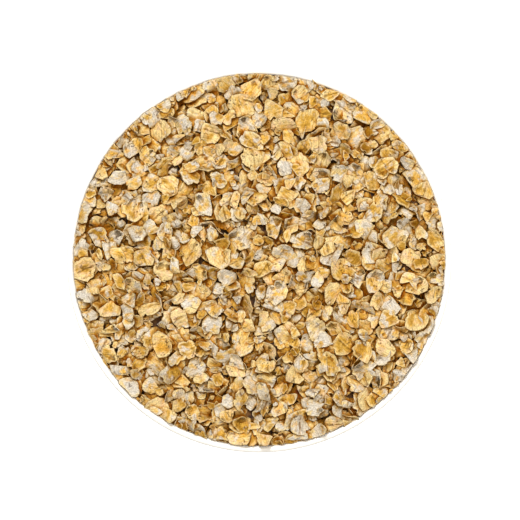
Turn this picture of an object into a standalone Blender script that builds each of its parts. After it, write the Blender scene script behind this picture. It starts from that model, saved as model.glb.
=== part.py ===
"""A bowl of rolled oats: a plain round porcelain bowl, and a low heap of oat flakes that fills it to its lip.

Two solids. The bowl is one turned wall with a foot ring. The oats are one solid: an uneven core that fills the bowl,
with the flakes that show lying on each other on top of it and fused to it.

The frame is in metres, +Z up, with its origin on the table at the middle of the foot ring.
"""

import math

import bmesh
import bpy
import numpy as np
from mathutils import Matrix, Vector, noise

# Bowl
RIM_INNER_RADIUS = 0.0750
LIP_WIDTH = 0.0030
BOWL_HEIGHT = 0.0600
INSIDE_DEPTH = 0.0535
FLOOR_THICKNESS = 0.0036
BOWL_ROUNDNESS = 2.4  # 2 is an ellipse, more is squarer at the bottom corner
FOOT_OUTER_RADIUS = 0.0370
FOOT_INNER_RADIUS = 0.0318
FOOT_EDGE = 0.0007  # bevel on the edges of the foot ring
FOOT_COVE = 1.12  # the bowl's outside bends into the foot ring from this share of the ring's radius
BOWL_SIDES = 60
INSIDE_STEPS = 7
OUTSIDE_STEPS = 10
LIP_POINTS = 3

# Heap of oats
GAP = 0.0004  # between the oats and the bowl
CORE_EDGE_HEIGHT = 0.0574  # of the core, where it meets the wall
CROWN = 0.0045  # how far the core's middle stands above its edge
CORE_SIDES = 48
CORE_RINGS = 7
CORE_RELIEF = 0.0011
CORE_RELIEF_SIZE = 0.0095

# Oat flakes: how many of each kind, how many sides they have, their length, and their breadth as a share of it
FLAKE_KINDS = (
    {"count": 58, "sides": 8, "length": (0.0098, 0.0118), "breadth": (0.74, 0.96)},
    {"count": 76, "sides": 7, "length": (0.0074, 0.0096), "breadth": (0.68, 0.98)},
    {"count": 66, "sides": 6, "length": (0.0048, 0.0072), "breadth": (0.60, 0.95)},
)
FLAKE_THICKNESS = 0.0010
FLAKE_BEVEL = 0.86  # breadth of a flake's upper face, as a share of its lower one
OUTLINE_WANDER = 0.13  # how far a flake's corners leave its oval
SLANT = 0.24  # slope of a middling flake, against the heap under it
STEEPEST = 0.75
BURIED = 0.22  # share of a flake that digs into the heap
SINK = 0.0004  # how far the whole flake is pressed in besides
OVER_EDGE = 0.46  # nearest that a flake's middle comes to the wall, as a share of its length
TRIES = 6  # places looked at for each flake, of which the lowest is taken
LOOK = 2  # cells looked at on each side of such a place
SEED = 5

SHARP_ANGLE = math.radians(22)

# Grid on which the heap's height is kept while flakes are laid
CELL = 0.0010

PORCELAIN = {"colour": (0.88, 0.875, 0.86), "roughness": 0.16}
OATS = {"colour": (0.62, 0.42, 0.20), "roughness": 0.82}


def clear_scene():
    """Removes the objects that a new file starts with."""
    for obj in list(bpy.data.objects):
        bpy.data.objects.remove(obj, do_unlink=True)


def new_collection(name, parent):
    collection = bpy.data.collections.new(name)
    parent.children.link(collection)
    return collection


def plain_material(name, colour, roughness):
    """A non-metallic Principled surface."""
    material = bpy.data.materials.new(name)
    material.use_nodes = True
    shader = material.node_tree.nodes["Principled BSDF"]
    shader.inputs["Base Color"].default_value = (*colour, 1.0)
    shader.inputs["Roughness"].default_value = roughness
    shader.inputs["Metallic"].default_value = 0.0
    return material


def wall_height(radius, reach, depth):
    """Height of a turned bowl surface at a radius.

    It is a quarter of a superellipse, as wide as reach at the rim, where it stands upright, and as deep as depth.
    """
    share = min(radius / reach, 1.0) ** BOWL_ROUNDNESS
    return BOWL_HEIGHT - depth * (1.0 - share) ** (1.0 / BOWL_ROUNDNESS)


def wall_curve(reach, depth, top, steps):
    """Points (radius, height) up that surface, from near its middle to the height top."""
    points = []
    for i in range(1, steps):
        turn = math.pi / 2 * i / steps
        radius = reach * math.sin(turn) ** (2.0 / BOWL_ROUNDNESS)
        height = wall_height(radius, reach, depth)
        if height < top:
            points.append((radius, height))
    drop = (BOWL_HEIGHT - top) / depth
    return [*points, (reach * (1.0 - drop**BOWL_ROUNDNESS) ** (1.0 / BOWL_ROUNDNESS), top)]


def bowl_profile():
    """The bowl's closed section from the axis: up the inside, over the lip, and down the outside to the foot."""
    lip = LIP_WIDTH / 2
    outer_radius = RIM_INNER_RADIUS + LIP_WIDTH
    outer_depth = INSIDE_DEPTH + FLOOR_THICKNESS
    shoulder = BOWL_HEIGHT - lip
    inside = wall_curve(RIM_INNER_RADIUS, INSIDE_DEPTH, CORE_EDGE_HEIGHT, INSIDE_STEPS)
    outside = wall_curve(outer_radius, outer_depth, shoulder, OUTSIDE_STEPS)
    over_lip = [(RIM_INNER_RADIUS, shoulder)]
    for i in range(1, LIP_POINTS + 1):
        turn = math.pi * i / (LIP_POINTS + 1)
        middle = RIM_INNER_RADIUS + lip
        over_lip.append((middle - lip * math.cos(turn), shoulder + lip * math.sin(turn)))
    down = [p for p in reversed(outside) if p[0] > FOOT_OUTER_RADIUS * FOOT_COVE]
    foot_top = wall_height(FOOT_OUTER_RADIUS, outer_radius, outer_depth)
    recess_top = wall_height(FOOT_INNER_RADIUS, outer_radius, outer_depth)
    recess_middle = BOWL_HEIGHT - outer_depth
    foot = [
        (FOOT_OUTER_RADIUS, foot_top),
        (FOOT_OUTER_RADIUS, FOOT_EDGE),
        (FOOT_OUTER_RADIUS - FOOT_EDGE, 0.0),
        (FOOT_INNER_RADIUS + FOOT_EDGE, 0.0),
        (FOOT_INNER_RADIUS, FOOT_EDGE),
        (FOOT_INNER_RADIUS, recess_top),
        (0.0, recess_middle),
    ]
    return [(0.0, BOWL_HEIGHT - INSIDE_DEPTH), *inside, *over_lip, *down, *foot]


def core_top(radius):
    """Height of the core's domed top, before its relief."""
    reach = RIM_INNER_RADIUS - GAP
    return CORE_EDGE_HEIGHT + CROWN * (1.0 - (radius / reach) ** 2)


def core_profile():
    """The core's section from the axis: outwards over its domed top, and down beside the bowl's inside."""
    reach = RIM_INNER_RADIUS - GAP
    depth = INSIDE_DEPTH - GAP
    wall = wall_curve(reach, depth, CORE_EDGE_HEIGHT, INSIDE_STEPS)
    rim = wall[-1][0]
    top = []
    for i in range(CORE_RINGS):
        radius = rim * i / CORE_RINGS
        top.append((radius, core_top(radius)))
    return [*top, *reversed(wall), (0.0, BOWL_HEIGHT - depth)]


def turned(name, profile, sides, collection):
    """The solid that a profile sweeps about the Z axis."""
    mesh = bpy.data.meshes.new(name)
    points = [(radius, 0.0, height) for radius, height in profile]
    edges = [(i, i + 1) for i in range(len(points) - 1)]
    mesh.from_pydata(points, edges, [])
    obj = bpy.data.objects.new(name, mesh)
    collection.objects.link(obj)
    screw = obj.modifiers.new("Turn", "SCREW")
    screw.axis = "Z"
    screw.steps = sides
    screw.render_steps = sides
    screw.use_merge_vertices = True
    screw.merge_threshold = 0.00001
    screw.use_smooth_shade = True
    return obj


def apply_modifiers(obj):
    """Makes what an object's modifiers give its own mesh, and removes them."""
    graph = bpy.context.evaluated_depsgraph_get()
    mesh = bpy.data.meshes.new_from_object(obj.evaluated_get(graph))
    old = obj.data
    obj.modifiers.clear()
    obj.data = mesh
    mesh.name = obj.name
    bpy.data.meshes.remove(old)


class HeapSurface:
    """The height of the heap over a square grid, onto which flakes are dropped one at a time."""

    def __init__(self):
        count = int(2 * RIM_INNER_RADIUS / CELL) + 1
        line = (np.arange(count) - (count - 1) / 2) * CELL
        self.x, self.y = np.meshgrid(line, line, indexing="ij")
        self.target = core_top(np.hypot(self.x, self.y))
        self.height = self.target.copy()

    def lowest(self, places):
        """The place that lies lowest against the dome that the heap should have."""
        depth = []
        for x, y in places:
            i = round((x - self.x[0, 0]) / CELL)
            j = round((y - self.y[0, 0]) / CELL)
            patch = (slice(max(i - LOOK, 0), i + LOOK + 1), slice(max(j - LOOK, 0), j + LOOK + 1))
            depth.append(float((self.height[patch] - self.target[patch]).mean()))
        return places[int(np.argmin(depth))]

    def under(self, x, y, length, breadth, turn):
        """The grid cells that an oval flake covers."""
        dx, dy = self.x - x, self.y - y
        along = dx * math.cos(turn) + dy * math.sin(turn)
        across = dy * math.cos(turn) - dx * math.sin(turn)
        return (2 * along / length) ** 2 + (2 * across / breadth) ** 2 <= 1.0

    def rest(self, x, y, cells, slant, heading):
        """The plane (slope along x, slope along y, height at the middle) on which a flake comes to rest.

        It follows the heap under the flake, leans over by the slant, and lets part of the flake dig in.
        """
        dx, dy, high = self.x[cells] - x, self.y[cells] - y, self.height[cells]
        slope_x, slope_y, _ = np.linalg.lstsq(np.stack([dx, dy, np.ones_like(dx)], 1), high, rcond=None)[0]
        slope_x += slant * math.cos(heading)
        slope_y += slant * math.sin(heading)
        ease = min(1.0, STEEPEST / math.hypot(slope_x, slope_y))
        slope_x, slope_y = float(slope_x * ease), float(slope_y * ease)
        lift = np.quantile(high - slope_x * dx - slope_y * dy, 1.0 - BURIED)
        return slope_x, slope_y, float(lift)

    def pile(self, x, y, cells, plane, thickness):
        """Raises the heap to the top of a flake that lies on a plane."""
        slope_x, slope_y, lift = plane
        top = lift + slope_x * (self.x[cells] - x) + slope_y * (self.y[cells] - y) + thickness
        self.height[cells] = np.maximum(self.height[cells], top)


def flake(length, breadth, sides, rng):
    """A flat oat flake lying on Z = 0: a low frustum on an oval with uneven corners."""
    shape = bmesh.new()
    bmesh.ops.create_cone(
        shape,
        cap_ends=True,
        segments=sides,
        radius1=0.5,
        radius2=0.5 * FLAKE_BEVEL,
        depth=1.0,
    )
    wander = 1.0 + rng.uniform(-OUTLINE_WANDER, OUTLINE_WANDER, sides)
    for vertex in shape.verts:
        turn = math.atan2(vertex.co.y, vertex.co.x)
        corner = round(turn / math.tau * sides) % sides
        vertex.co.x *= length * wander[corner]
        vertex.co.y *= breadth * wander[corner]
        vertex.co.z = (vertex.co.z + 0.5) * FLAKE_THICKNESS
    mesh = bpy.data.meshes.new("flake")
    shape.to_mesh(mesh)
    shape.free()
    return bpy.data.objects.new("flake", mesh)


def lay(obj, x, y, turn, plane):
    """Turns and tilts a flake onto its plane, and presses it into what it lies on."""
    slope_x, slope_y, lift = plane
    normal = Vector((-slope_x, -slope_y, 1.0)).normalized()
    tilt = Vector((0.0, 0.0, 1.0)).rotation_difference(normal).to_matrix().to_4x4()
    place = Matrix.Translation((x, y, lift - SINK))
    obj.data.transform(place @ tilt @ Matrix.Rotation(turn, 4, "Z"))


def keep_off_wall(obj):
    """Draws in the corners that would pass the bowl's wall, and cuts the bent faces into triangles."""
    most = RIM_INNER_RADIUS - 2 * GAP
    for vertex in obj.data.vertices:
        reach = math.hypot(vertex.co.x, vertex.co.y)
        if reach > most:
            vertex.co.x *= most / reach
            vertex.co.y *= most / reach
    triangulate(obj)


def places_for(length, rng):
    """Places over the bowl, evenly spread, that keep most of a flake inside the wall."""
    most = RIM_INNER_RADIUS - OVER_EDGE * length
    reach = most * np.sqrt(rng.uniform(0.0, 1.0, TRIES))
    turn = rng.uniform(0.0, math.tau, TRIES)
    return list(zip(reach * np.cos(turn), reach * np.sin(turn)))


def scatter_flakes(collection, rng):
    """Drops the flakes on the core, the largest first, each in the lowest of a few places."""
    heap = HeapSurface()
    for kind in FLAKE_KINDS:
        for _ in range(kind["count"]):
            length = rng.uniform(*kind["length"])
            breadth = length * rng.uniform(*kind["breadth"])
            turn = rng.uniform(0.0, math.pi)
            x, y = heap.lowest(places_for(length, rng))
            cells = heap.under(x, y, length, breadth, turn)
            slant = min(rng.exponential(SLANT), STEEPEST)
            plane = heap.rest(x, y, cells, slant, rng.uniform(0.0, math.tau))
            obj = flake(length, breadth, kind["sides"], rng)
            lay(obj, x, y, turn, plane)
            keep_off_wall(obj)
            collection.objects.link(obj)
            heap.pile(x, y, cells, plane, FLAKE_THICKNESS - SINK)


def roughen(obj):
    """Gives the core's top the bumps of flakes that lie too deep to show whole."""
    for vertex in obj.data.vertices:
        if vertex.co.z > CORE_EDGE_HEIGHT + GAP:
            bump = noise.noise(vertex.co / CORE_RELIEF_SIZE)
            vertex.co.z += CORE_RELIEF * bump


def triangulate(obj):
    """Cuts every face of an object's mesh into triangles."""
    shape = bmesh.new()
    shape.from_mesh(obj.data)
    bmesh.ops.triangulate(shape, faces=list(shape.faces))
    shape.to_mesh(obj.data)
    shape.free()


def shade(obj):
    """Shades gentle slopes smooth and keeps the flakes' rims sharp."""
    obj.data.shade_smooth()
    obj.data.set_sharp_from_angle(angle=SHARP_ANGLE)


def shell_from(start):
    """The faces that are joined to a face, walking over the edges that only two faces share."""
    start.tag = True
    shell = [start]
    for face in shell:
        for edge in face.edges:
            if len(edge.link_faces) != 2:
                continue  # two shells touch along this edge
            for other in edge.link_faces:
                if not other.tag:
                    other.tag = True
                    shell.append(other)
    return shell


def keep_largest_shell(obj):
    """Drops loose scraps, and fills any hollow that the fusing sealed, by keeping only the largest shell."""
    shape = bmesh.new()
    shape.from_mesh(obj.data)
    shells = []
    for face in shape.faces:
        if not face.tag:
            shells.append(shell_from(face))
    shells.sort(key=len, reverse=True)
    for shell in shells[1:]:
        bmesh.ops.delete(shape, geom=shell, context="FACES")
    shape.to_mesh(obj.data)
    shape.free()


def make_bowl(collection):
    bowl = turned("bowl", bowl_profile(), BOWL_SIDES, collection)
    bowl.data.materials.append(plain_material("porcelain", **PORCELAIN))
    return bowl


def make_oats(collection, loose):
    """The core with its flakes, joined by one union. Their objects are then removed."""
    rng = np.random.default_rng(SEED)
    oats = turned("oats", core_profile(), CORE_SIDES, collection)
    apply_modifiers(oats)
    roughen(oats)
    triangulate(oats)
    oats.data.materials.append(plain_material("oats", **OATS))
    scatter_flakes(loose, rng)
    fuse = oats.modifiers.new("Fuse flakes", "BOOLEAN")
    fuse.operation = "UNION"
    fuse.operand_type = "COLLECTION"
    fuse.collection = loose
    fuse.solver = "EXACT"
    apply_modifiers(oats)
    for obj in list(loose.objects):
        bpy.data.objects.remove(obj, do_unlink=True)
    triangulate(oats)
    keep_largest_shell(oats)
    shade(oats)
    return oats


def main():
    clear_scene()
    scene = bpy.context.scene.collection
    parts = new_collection("bowl_of_rolled_oats", scene)
    loose = new_collection("loose_flakes", scene)
    make_bowl(parts)
    make_oats(parts, loose)
    bpy.data.collections.remove(loose)


main()
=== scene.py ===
"""The looks of a bowl of rolled oats: a white glazed porcelain bowl filled to its lip with dry oat flakes.

The bowl is a turned surface. The heap is a bed that fills the bowl, with loose flakes dropped on it one at
a time until it stands as high as its dome. Each flake is a thin closed shell with an outline, a bend and a
thickness of its own. Lengths are in metres unless a name says millimetres.
"""

from __future__ import annotations

import logging
import math
from collections.abc import Callable
from dataclasses import dataclass, field
from enum import Enum

import bpy
import numpy as np
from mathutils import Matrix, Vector

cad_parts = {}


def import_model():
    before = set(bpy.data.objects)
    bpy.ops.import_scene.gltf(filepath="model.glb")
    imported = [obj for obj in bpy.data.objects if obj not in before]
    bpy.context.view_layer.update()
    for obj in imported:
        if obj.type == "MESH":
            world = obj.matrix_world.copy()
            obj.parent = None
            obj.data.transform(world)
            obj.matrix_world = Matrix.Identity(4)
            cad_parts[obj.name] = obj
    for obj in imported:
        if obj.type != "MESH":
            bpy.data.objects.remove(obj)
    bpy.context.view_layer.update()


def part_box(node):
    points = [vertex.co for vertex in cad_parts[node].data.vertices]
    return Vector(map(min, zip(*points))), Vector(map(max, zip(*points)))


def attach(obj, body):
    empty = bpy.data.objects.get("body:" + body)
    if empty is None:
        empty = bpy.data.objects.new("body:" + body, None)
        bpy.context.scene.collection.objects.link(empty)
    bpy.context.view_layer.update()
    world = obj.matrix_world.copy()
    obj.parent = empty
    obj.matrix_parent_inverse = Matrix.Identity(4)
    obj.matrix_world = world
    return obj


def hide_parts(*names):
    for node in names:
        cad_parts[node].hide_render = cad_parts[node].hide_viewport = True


LOG = logging.getLogger("bowl_of_rolled_oats")
MM = 0.001
Array = np.ndarray
Socket = bpy.types.NodeSocket
Threshold = tuple[object, float, float]

# what a node is set to do: multiply, step smoothly from 0 to 1, or lay one colour over another
TIMES = {"operation": "MULTIPLY"}
STEP = {"interpolation_type": "SMOOTHSTEP"}
COLOURS = {"data_type": "RGBA", "out": 2}


def linear(hex_colour: str) -> tuple[float, float, float, float]:
    """Turns an sRGB colour into linear light.

    Args:
        hex_colour: six hexadecimal digits, with or without a leading #.

    Returns:
        Red, green, blue and an alpha of one.
    """
    digits = hex_colour.lstrip("#")
    shares = [int(digits[i : i + 2], 16) / 255 for i in (0, 2, 4)]
    light = [c / 12.92 if c <= 0.04045 else ((c + 0.055) / 1.055) ** 2.4 for c in shares]
    return (light[0], light[1], light[2], 1.0)


def add(
    tree: bpy.types.NodeTree, kind: str, inputs: dict | None = None, out: int | str = 0, **settings: object
) -> Socket:
    """Adds one shader node, sets it and links it.

    Args:
        tree: the node tree that gets the node.
        kind: the node's Blender type, less the word ShaderNode in front.
        inputs: a value, or the output socket to link from, for each input by its name or index.
        out: the output that is wanted, by its name or index.
        settings: the node's properties by name.

    Returns:
        That output.
    """
    made = tree.nodes.new("ShaderNode" + kind)
    for name, value in settings.items():
        setattr(made, name, value)
    for key, value in (inputs or {}).items():
        if isinstance(value, Socket):
            tree.links.new(value, made.inputs[key])
        else:
            made.inputs[key].default_value = value
    return made.outputs[out]


def weighted(tree: bpy.types.NodeTree, start: object, *parts: tuple[object, float]) -> Socket:
    """Adds up values, each times its weight.

    Args:
        tree: the node tree.
        start: what the sum starts from, a number or an output socket.
        parts: pairs of an output socket and its weight.

    Returns:
        The sum.
    """
    total = start
    for value, weight in parts:
        total = add(tree, "Math", {0: value, 1: weight, 2: total}, operation="MULTIPLY_ADD")
    return total


def new_material(name: str) -> tuple[bpy.types.Material, bpy.types.NodeTree, bpy.types.Node]:
    """Makes a material that holds one Principled shader.

    Args:
        name: the material's name.

    Returns:
        The material, its node tree and the shader.
    """
    material = bpy.data.materials.new(name)
    material.use_nodes = True
    return material, material.node_tree, material.node_tree.nodes["Principled BSDF"]


def mesh_object(
    name: str, points: Array, triangles: Array, uv_maps: dict[str, Array], values: dict[str, Array]
) -> bpy.types.Object:
    """Puts arrays into a mesh object at the origin.

    Args:
        name: the object's name.
        points: the vertices, one row each.
        triangles: three vertex indices a row, anticlockwise seen from outside.
        uv_maps: for each UV map, one row for each corner of each triangle.
        values: for each point attribute, one number for each vertex.

    Returns:
        The object, linked to the scene and smooth shaded.
    """
    mesh = bpy.data.meshes.new(name)
    mesh.vertices.add(len(points))
    mesh.vertices.foreach_set("co", np.ascontiguousarray(points, np.float32).ravel())
    mesh.loops.add(triangles.size)
    mesh.loops.foreach_set("vertex_index", triangles.astype(np.int32).ravel())
    mesh.polygons.add(len(triangles))
    mesh.polygons.foreach_set("loop_start", np.arange(len(triangles), dtype=np.int32) * 3)
    mesh.update(calc_edges=True)
    for layer_name, corners in uv_maps.items():
        layer = mesh.uv_layers.new(name=layer_name, do_init=False)
        layer.data.foreach_set("uv", np.ascontiguousarray(corners, np.float32).ravel())
    for value_name, numbers in values.items():
        attribute = mesh.attributes.new(value_name, "FLOAT", "POINT")
        attribute.data.foreach_set("value", np.ascontiguousarray(numbers, np.float32).ravel())
    mesh.shade_smooth()
    made = bpy.data.objects.new(name, mesh)
    bpy.context.scene.collection.objects.link(made)
    return made


def ring_triangles(rings: int, sides: int) -> Array:
    """Triangles of a closed surface made of a pole, some rings and a second pole.

    Vertex 0 is the first pole, the rings follow in order with their vertices anticlockwise seen from the
    first pole, and the second pole comes last.

    Args:
        rings: how many rings there are.
        sides: how many vertices a ring has.

    Returns:
        Three vertex indices a row, anticlockwise seen from outside.
    """
    here = np.arange(sides)
    after = (here + 1) % sides
    first = np.stack([np.zeros(sides, int), 1 + here, 1 + after], 1)
    upper = 1 + np.arange(rings - 1)[:, None] * sides
    a, b = upper + here, upper + after
    c, d = a + sides, b + sides
    band = np.stack([np.stack([a, c, d], -1), np.stack([a, d, b], -1)], 2).reshape(-1, 3)
    last = 1 + (rings - 1) * sides
    pole = 1 + rings * sides
    end = np.stack([last + here, np.full(sides, pole), last + after], 1)
    return np.concatenate([first, band, end])


@dataclass(frozen=True)
class Glaze:
    """White glazed porcelain, cast and fired, with a clear glossy glaze and a bare ground foot."""

    white: str = "#F4F2ED"
    cloudy: str = "#F6F4F0"
    biscuit: str = "#D9CFBE"
    roughness: float = 0.12
    biscuit_roughness: float = 0.7
    foot_height: float = 0.6 * MM
    cloud_mm: float = 30.0
    ripple_mm: float = 22.0
    ripple_depth: float = 0.1 * MM

    def material(self) -> bpy.types.Material:
        """Makes the finish: to the eye a hard soft-white gloss, matt and greyer under the foot.

        Returns:
            The material.
        """
        material, tree, shader = new_material("white_glazed_porcelain")
        place = add(tree, "TexCoord", out="Object")
        height = add(tree, "SeparateXYZ", {0: place}, out="Z")
        bare = add(tree, "MapRange", {0: height, 1: self.foot_height, 2: 0.0}, **STEP)
        cloud = add(tree, "TexNoise", {"Vector": place, "Scale": 1 / (self.cloud_mm * MM), "Detail": 2.0})
        tint = add(tree, "Mix", {0: cloud, 6: linear(self.cloudy), 7: linear(self.white)}, **COLOURS)
        colour = add(tree, "Mix", {0: bare, 6: tint, 7: linear(self.biscuit)}, **COLOURS)
        tree.links.new(colour, shader.inputs["Base Color"])
        gloss = add(tree, "MapRange", {0: bare, 3: self.roughness, 4: self.biscuit_roughness})
        tree.links.new(gloss, shader.inputs["Roughness"])
        ripple = add(tree, "TexNoise", {"Vector": place, "Scale": 1 / (self.ripple_mm * MM), "Detail": 1.0})
        wave = add(tree, "Bump", {"Strength": 0.25, "Distance": self.ripple_depth, "Height": ripple})
        tree.links.new(wave, shader.inputs["Normal"])
        shader.inputs["IOR"].default_value = 1.52
        return material


@dataclass(frozen=True)
class FlakeFinish:
    """Dry rolled oat: steamed groats pressed flat, with a tan bran skin and white flour where they split.

    The names that end in mm are the distance between the lumps of a pattern.
    """

    name: str
    pale: str = "#DAC28B"
    tan: str = "#D3A54B"
    pink: str = "#D9BA90"
    amber: str = "#C09338"
    deep_amber: str = "#9A7022"
    flour: str = "#CBC5BA"
    # pale rim: worn flour and a painted highlight; cut edge: straw colour and a painted shadow line
    worn_rim_and_highlight_colour: str = "#DCC898"
    cut_edge_and_shadow_line: str = "#CFA870"
    brown: str = "#462403"
    # painted shade: golden where the heap keeps light off, dull brown further in
    shade: str = "#E7C77A"
    painted_shade_brown: str = "#C0A060"
    flour_share: float = 0.8
    stripes: float = 0.4
    roughness: float = 0.6
    drift_mm: float = 10.0
    patch_mm: float = 2.8
    blush_mm: float = 2.6
    stain_mm: float = 3.2
    chalk_mm: float = 3.8
    plate_mm: float = 3.6
    pit_mm: float = 1.25
    speck_mm: float = 0.55
    dent_mm: float = 1.3
    dent_depth: float = 0.34 * MM

    def material(self) -> bpy.types.Material:
        """Makes the finish: to the eye matt tan skins with amber stains, chalky patches, brown creases and
        painted shade.

        The mesh gives tone, flour, amber and lot (one number a flake each), rim (0 in the middle to 1 at the
        edge), crease (how far the furrow sinks in), deep (how much of the light its neighbours
        keep off, which is painted in as shade) and the UV map Flake, in millimetres from the flake's middle
        line.

        Returns:
            The material.
        """
        material, tree, shader = new_material(self.name)
        place = add(tree, "TexCoord", out="Object")
        tone, flour, amber, lot, rim, crease, deep = (
            add(tree, "Attribute", out="Fac", attribute_name=name)
            for name in ("tone", "flour", "amber", "lot", "rim", "crease", "deep")
        )
        flake_place = add(tree, "UVMap", uv_map="Flake")
        along, across = (add(tree, "SeparateXYZ", {0: flake_place}, out=axis) for axis in ("X", "Y"))

        def lumps(size_mm: float, detail: float = 2.0, shift: float = 0.0) -> Socket:
            """Makes a soft uneven pattern at a real size.

            Args:
                size_mm: the distance between its lumps.
                detail: how many finer layers it has.
                shift: how far it is moved, so that no two patterns agree.

            Returns:
                The pattern, about 0.5 on the whole.
            """
            moved = add(tree, "Mapping", {"Vector": place, "Location": (shift, shift * 0.7, shift * 0.4)})
            form = {"Vector": moved, "Scale": 1 / (size_mm * MM), "Detail": detail, "Roughness": 0.55}
            return add(tree, "TexNoise", form)

        def fibres(run: float, change: float, per_mm: float, detail: float) -> Socket:
            """Makes streaks along the flake.

            Args:
                run: how much slower they change along the flake than across it.
                change: how far apart two flakes' streaks lie.
                per_mm: how many there are across a millimetre.
                detail: how many finer layers they have.

            Returns:
                The streaks, about 0.5 on the whole.
            """
            drawn_out = add(tree, "Math", {0: along, 1: run}, **TIMES)
            apart = add(tree, "Math", {0: lot, 1: change}, **TIMES)
            spot = add(tree, "CombineXYZ", {0: drawn_out, 1: across, 2: apart})
            return add(tree, "TexNoise", {"Vector": spot, "Scale": per_mm, "Detail": detail})

        def both(first: Threshold, second: Threshold) -> Socket:
            """Multiplies two smooth steps, each given as a value and where its step starts and ends."""
            steps = [add(tree, "MapRange", dict(enumerate(step)), **STEP) for step in (first, second)]
            return add(tree, "Math", dict(enumerate(steps)), **TIMES)

        # the oats lie in drifts, some whiter and some browner, each as wide as a few flakes
        drift = weighted(tree, -2.0, (lumps(self.drift_mm, 1.0, 3.1), 4.0))
        fibre = fibres(0.25, 90.0, 1.1, 3.0)

        # bran skin between straw and tan in soft patches, blushed here and there, each flake a little apart
        patch = lumps(self.patch_mm)
        skin = weighted(tree, -2.05, (fibre, 2.0), (patch, 2.4), (drift, -0.4), (rim, -0.85), (tone, 1.1))
        blush = weighted(tree, lumps(self.blush_mm, 1.0, 7.7), (lot, 0.12))
        blush = add(tree, "MapRange", {0: blush, 1: 0.52, 2: 0.72}, **STEP)
        level = add(tree, "Math", {0: add(tree, "Math", {0: lot, 1: 7.0}, **TIMES)}, operation="FRACT")
        level = weighted(tree, 0.91, (level, 0.22))
        level = add(tree, "CombineColor", {0: level, 1: level, 2: level})

        # amber stains where the skin is thickest, kept off the rim, deeper in their middle
        stain = lumps(self.stain_mm, 1.5, 0.31)
        stain = weighted(tree, -0.20, (stain, 0.75), (fibre, 0.25), (amber, 0.30), (drift, -0.07))
        soft = both((stain, 0.40, 0.60), (rim, 1.05, 0.6))
        core = both((stain, 0.55, 0.71), (rim, 1.05, 0.6))

        # bare flour in patches with a crisp edge, more towards the rim
        chalk = lumps(self.chalk_mm, 2.0, 0.57)
        chalk = weighted(tree, -0.30, (chalk, 1.0), (flour, 0.46), (drift, 0.09), (rim, 0.05))
        chalk = add(tree, "MapRange", {0: chalk, 1: 0.49, 2: 0.63}, **STEP)

        # pale rim, worn flour and painted highlight; outside it the cut edge, straw and a painted shadow line
        rim_wear_and_highlight = both((rim, 0.66, 0.93), (lumps(2.2, 2.0, 4.3), 0.38, 0.60))
        cut = add(tree, "MapRange", {0: rim, 1: 0.95, 2: 0.99}, **STEP)

        # soft brown furrow along the flake, with a wandering width and gaps in it
        width = weighted(tree, -0.75, (lumps(1.6, 2.0, 0.83), 1.9))
        off_line = add(tree, "Math", {0: across}, operation="ABSOLUTE")
        off_line = add(tree, "Math", {0: off_line, 1: width}, operation="SUBTRACT")
        groove, line = (
            add(tree, "Math", {0: both((off_line, outer, inner), (rim, 0.98, 0.7)), 1: crease}, **TIMES)
            for outer, inner in ((0.42, -0.12), (0.12, -0.16))
        )

        # short hairline cracks, and small brown pits in clusters where the skin has torn
        plate = {"Vector": place, "Scale": 1 / (self.plate_mm * MM)}
        plate_edge = add(tree, "TexVoronoi", plate, out="Distance", feature="DISTANCE_TO_EDGE")
        crack = both((plate_edge, 0.07, 0.02), (lumps(4.2, 1.0, 5.9), 0.58, 0.66))
        cell = add(tree, "TexVoronoi", {"Vector": place, "Scale": 1 / (self.pit_mm * MM)}, out="Distance")
        pit = both((cell, 0.42, 0.2), (lumps(5.0, 1.0, 1.1), 0.60, 0.66))

        # dark fibres, and the grain of the pressed starch with finer streaks in it
        rib = add(tree, "MapRange", {0: fibre, 1: 0.56, 2: 0.70}, **STEP)
        speck = lumps(self.speck_mm, 2.0, 1.7)
        grain = weighted(tree, 0.0, (speck, 0.5), (fibres(0.3, 50.0, 2.0, 2.0), 0.5))
        grain = add(tree, "MapRange", {0: grain, 1: 0.38, 2: 0.62, 3: 0.65, 4: 1.19})
        grain = add(tree, "CombineColor", {0: grain, 1: grain, 2: grain})

        # painted shade: where the heap keeps light off the colour turns golden, and further in a dull brown
        golden_painted_shade_mask = add(tree, "MapRange", {0: deep, 1: 0.08, 2: 0.75}, **STEP)
        brown_painted_shade_mask = add(tree, "MapRange", {0: deep, 1: 0.32, 2: 0.78}, **STEP)

        # the coats, from the lowest up: where each shows, how strongly, its colour and its rule
        colour = linear(self.pale)
        deep_amber, brown = linear(self.deep_amber), linear(self.brown)
        for share, strength, coat, rule in (
            (blush, 1.0, linear(self.pink), "MIX"),
            (skin, 1.0, linear(self.tan), "MIX"),
            (1.0, 1.0, level, "MULTIPLY"),
            (soft, 0.9, linear(self.amber), "MIX"),
            (core, 0.8, deep_amber, "MIX"),
            (chalk, self.flour_share, linear(self.flour), "MIX"),
            # painted highlight with worn flour on the rim, then a painted shadow line with the cut edge's straw
            (rim_wear_and_highlight, 0.6, linear(self.worn_rim_and_highlight_colour), "MIX"),
            (cut, 0.7, linear(self.cut_edge_and_shadow_line), "MIX"),
            (groove, 0.6, deep_amber, "MIX"),
            (line, 0.5, brown, "MIX"),
            (crack, 0.65, brown, "MIX"),
            (pit, 0.75, brown, "MIX"),
            (rib, self.stripes, deep_amber, "MIX"),
            (1.0, 1.0, grain, "MULTIPLY"),
            # painted shade where the heap keeps light off
            (golden_painted_shade_mask, 1.0, linear(self.shade), "MULTIPLY"),
            (brown_painted_shade_mask, 1.0, linear(self.painted_shade_brown), "MULTIPLY"),
        ):
            amount = add(tree, "Math", {0: share, 1: strength}, **TIMES)
            colour = add(tree, "Mix", {0: amount, 6: colour, 7: coat}, blend_type=rule, **COLOURS)
        tree.links.new(colour, shader.inputs["Base Color"])

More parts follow.
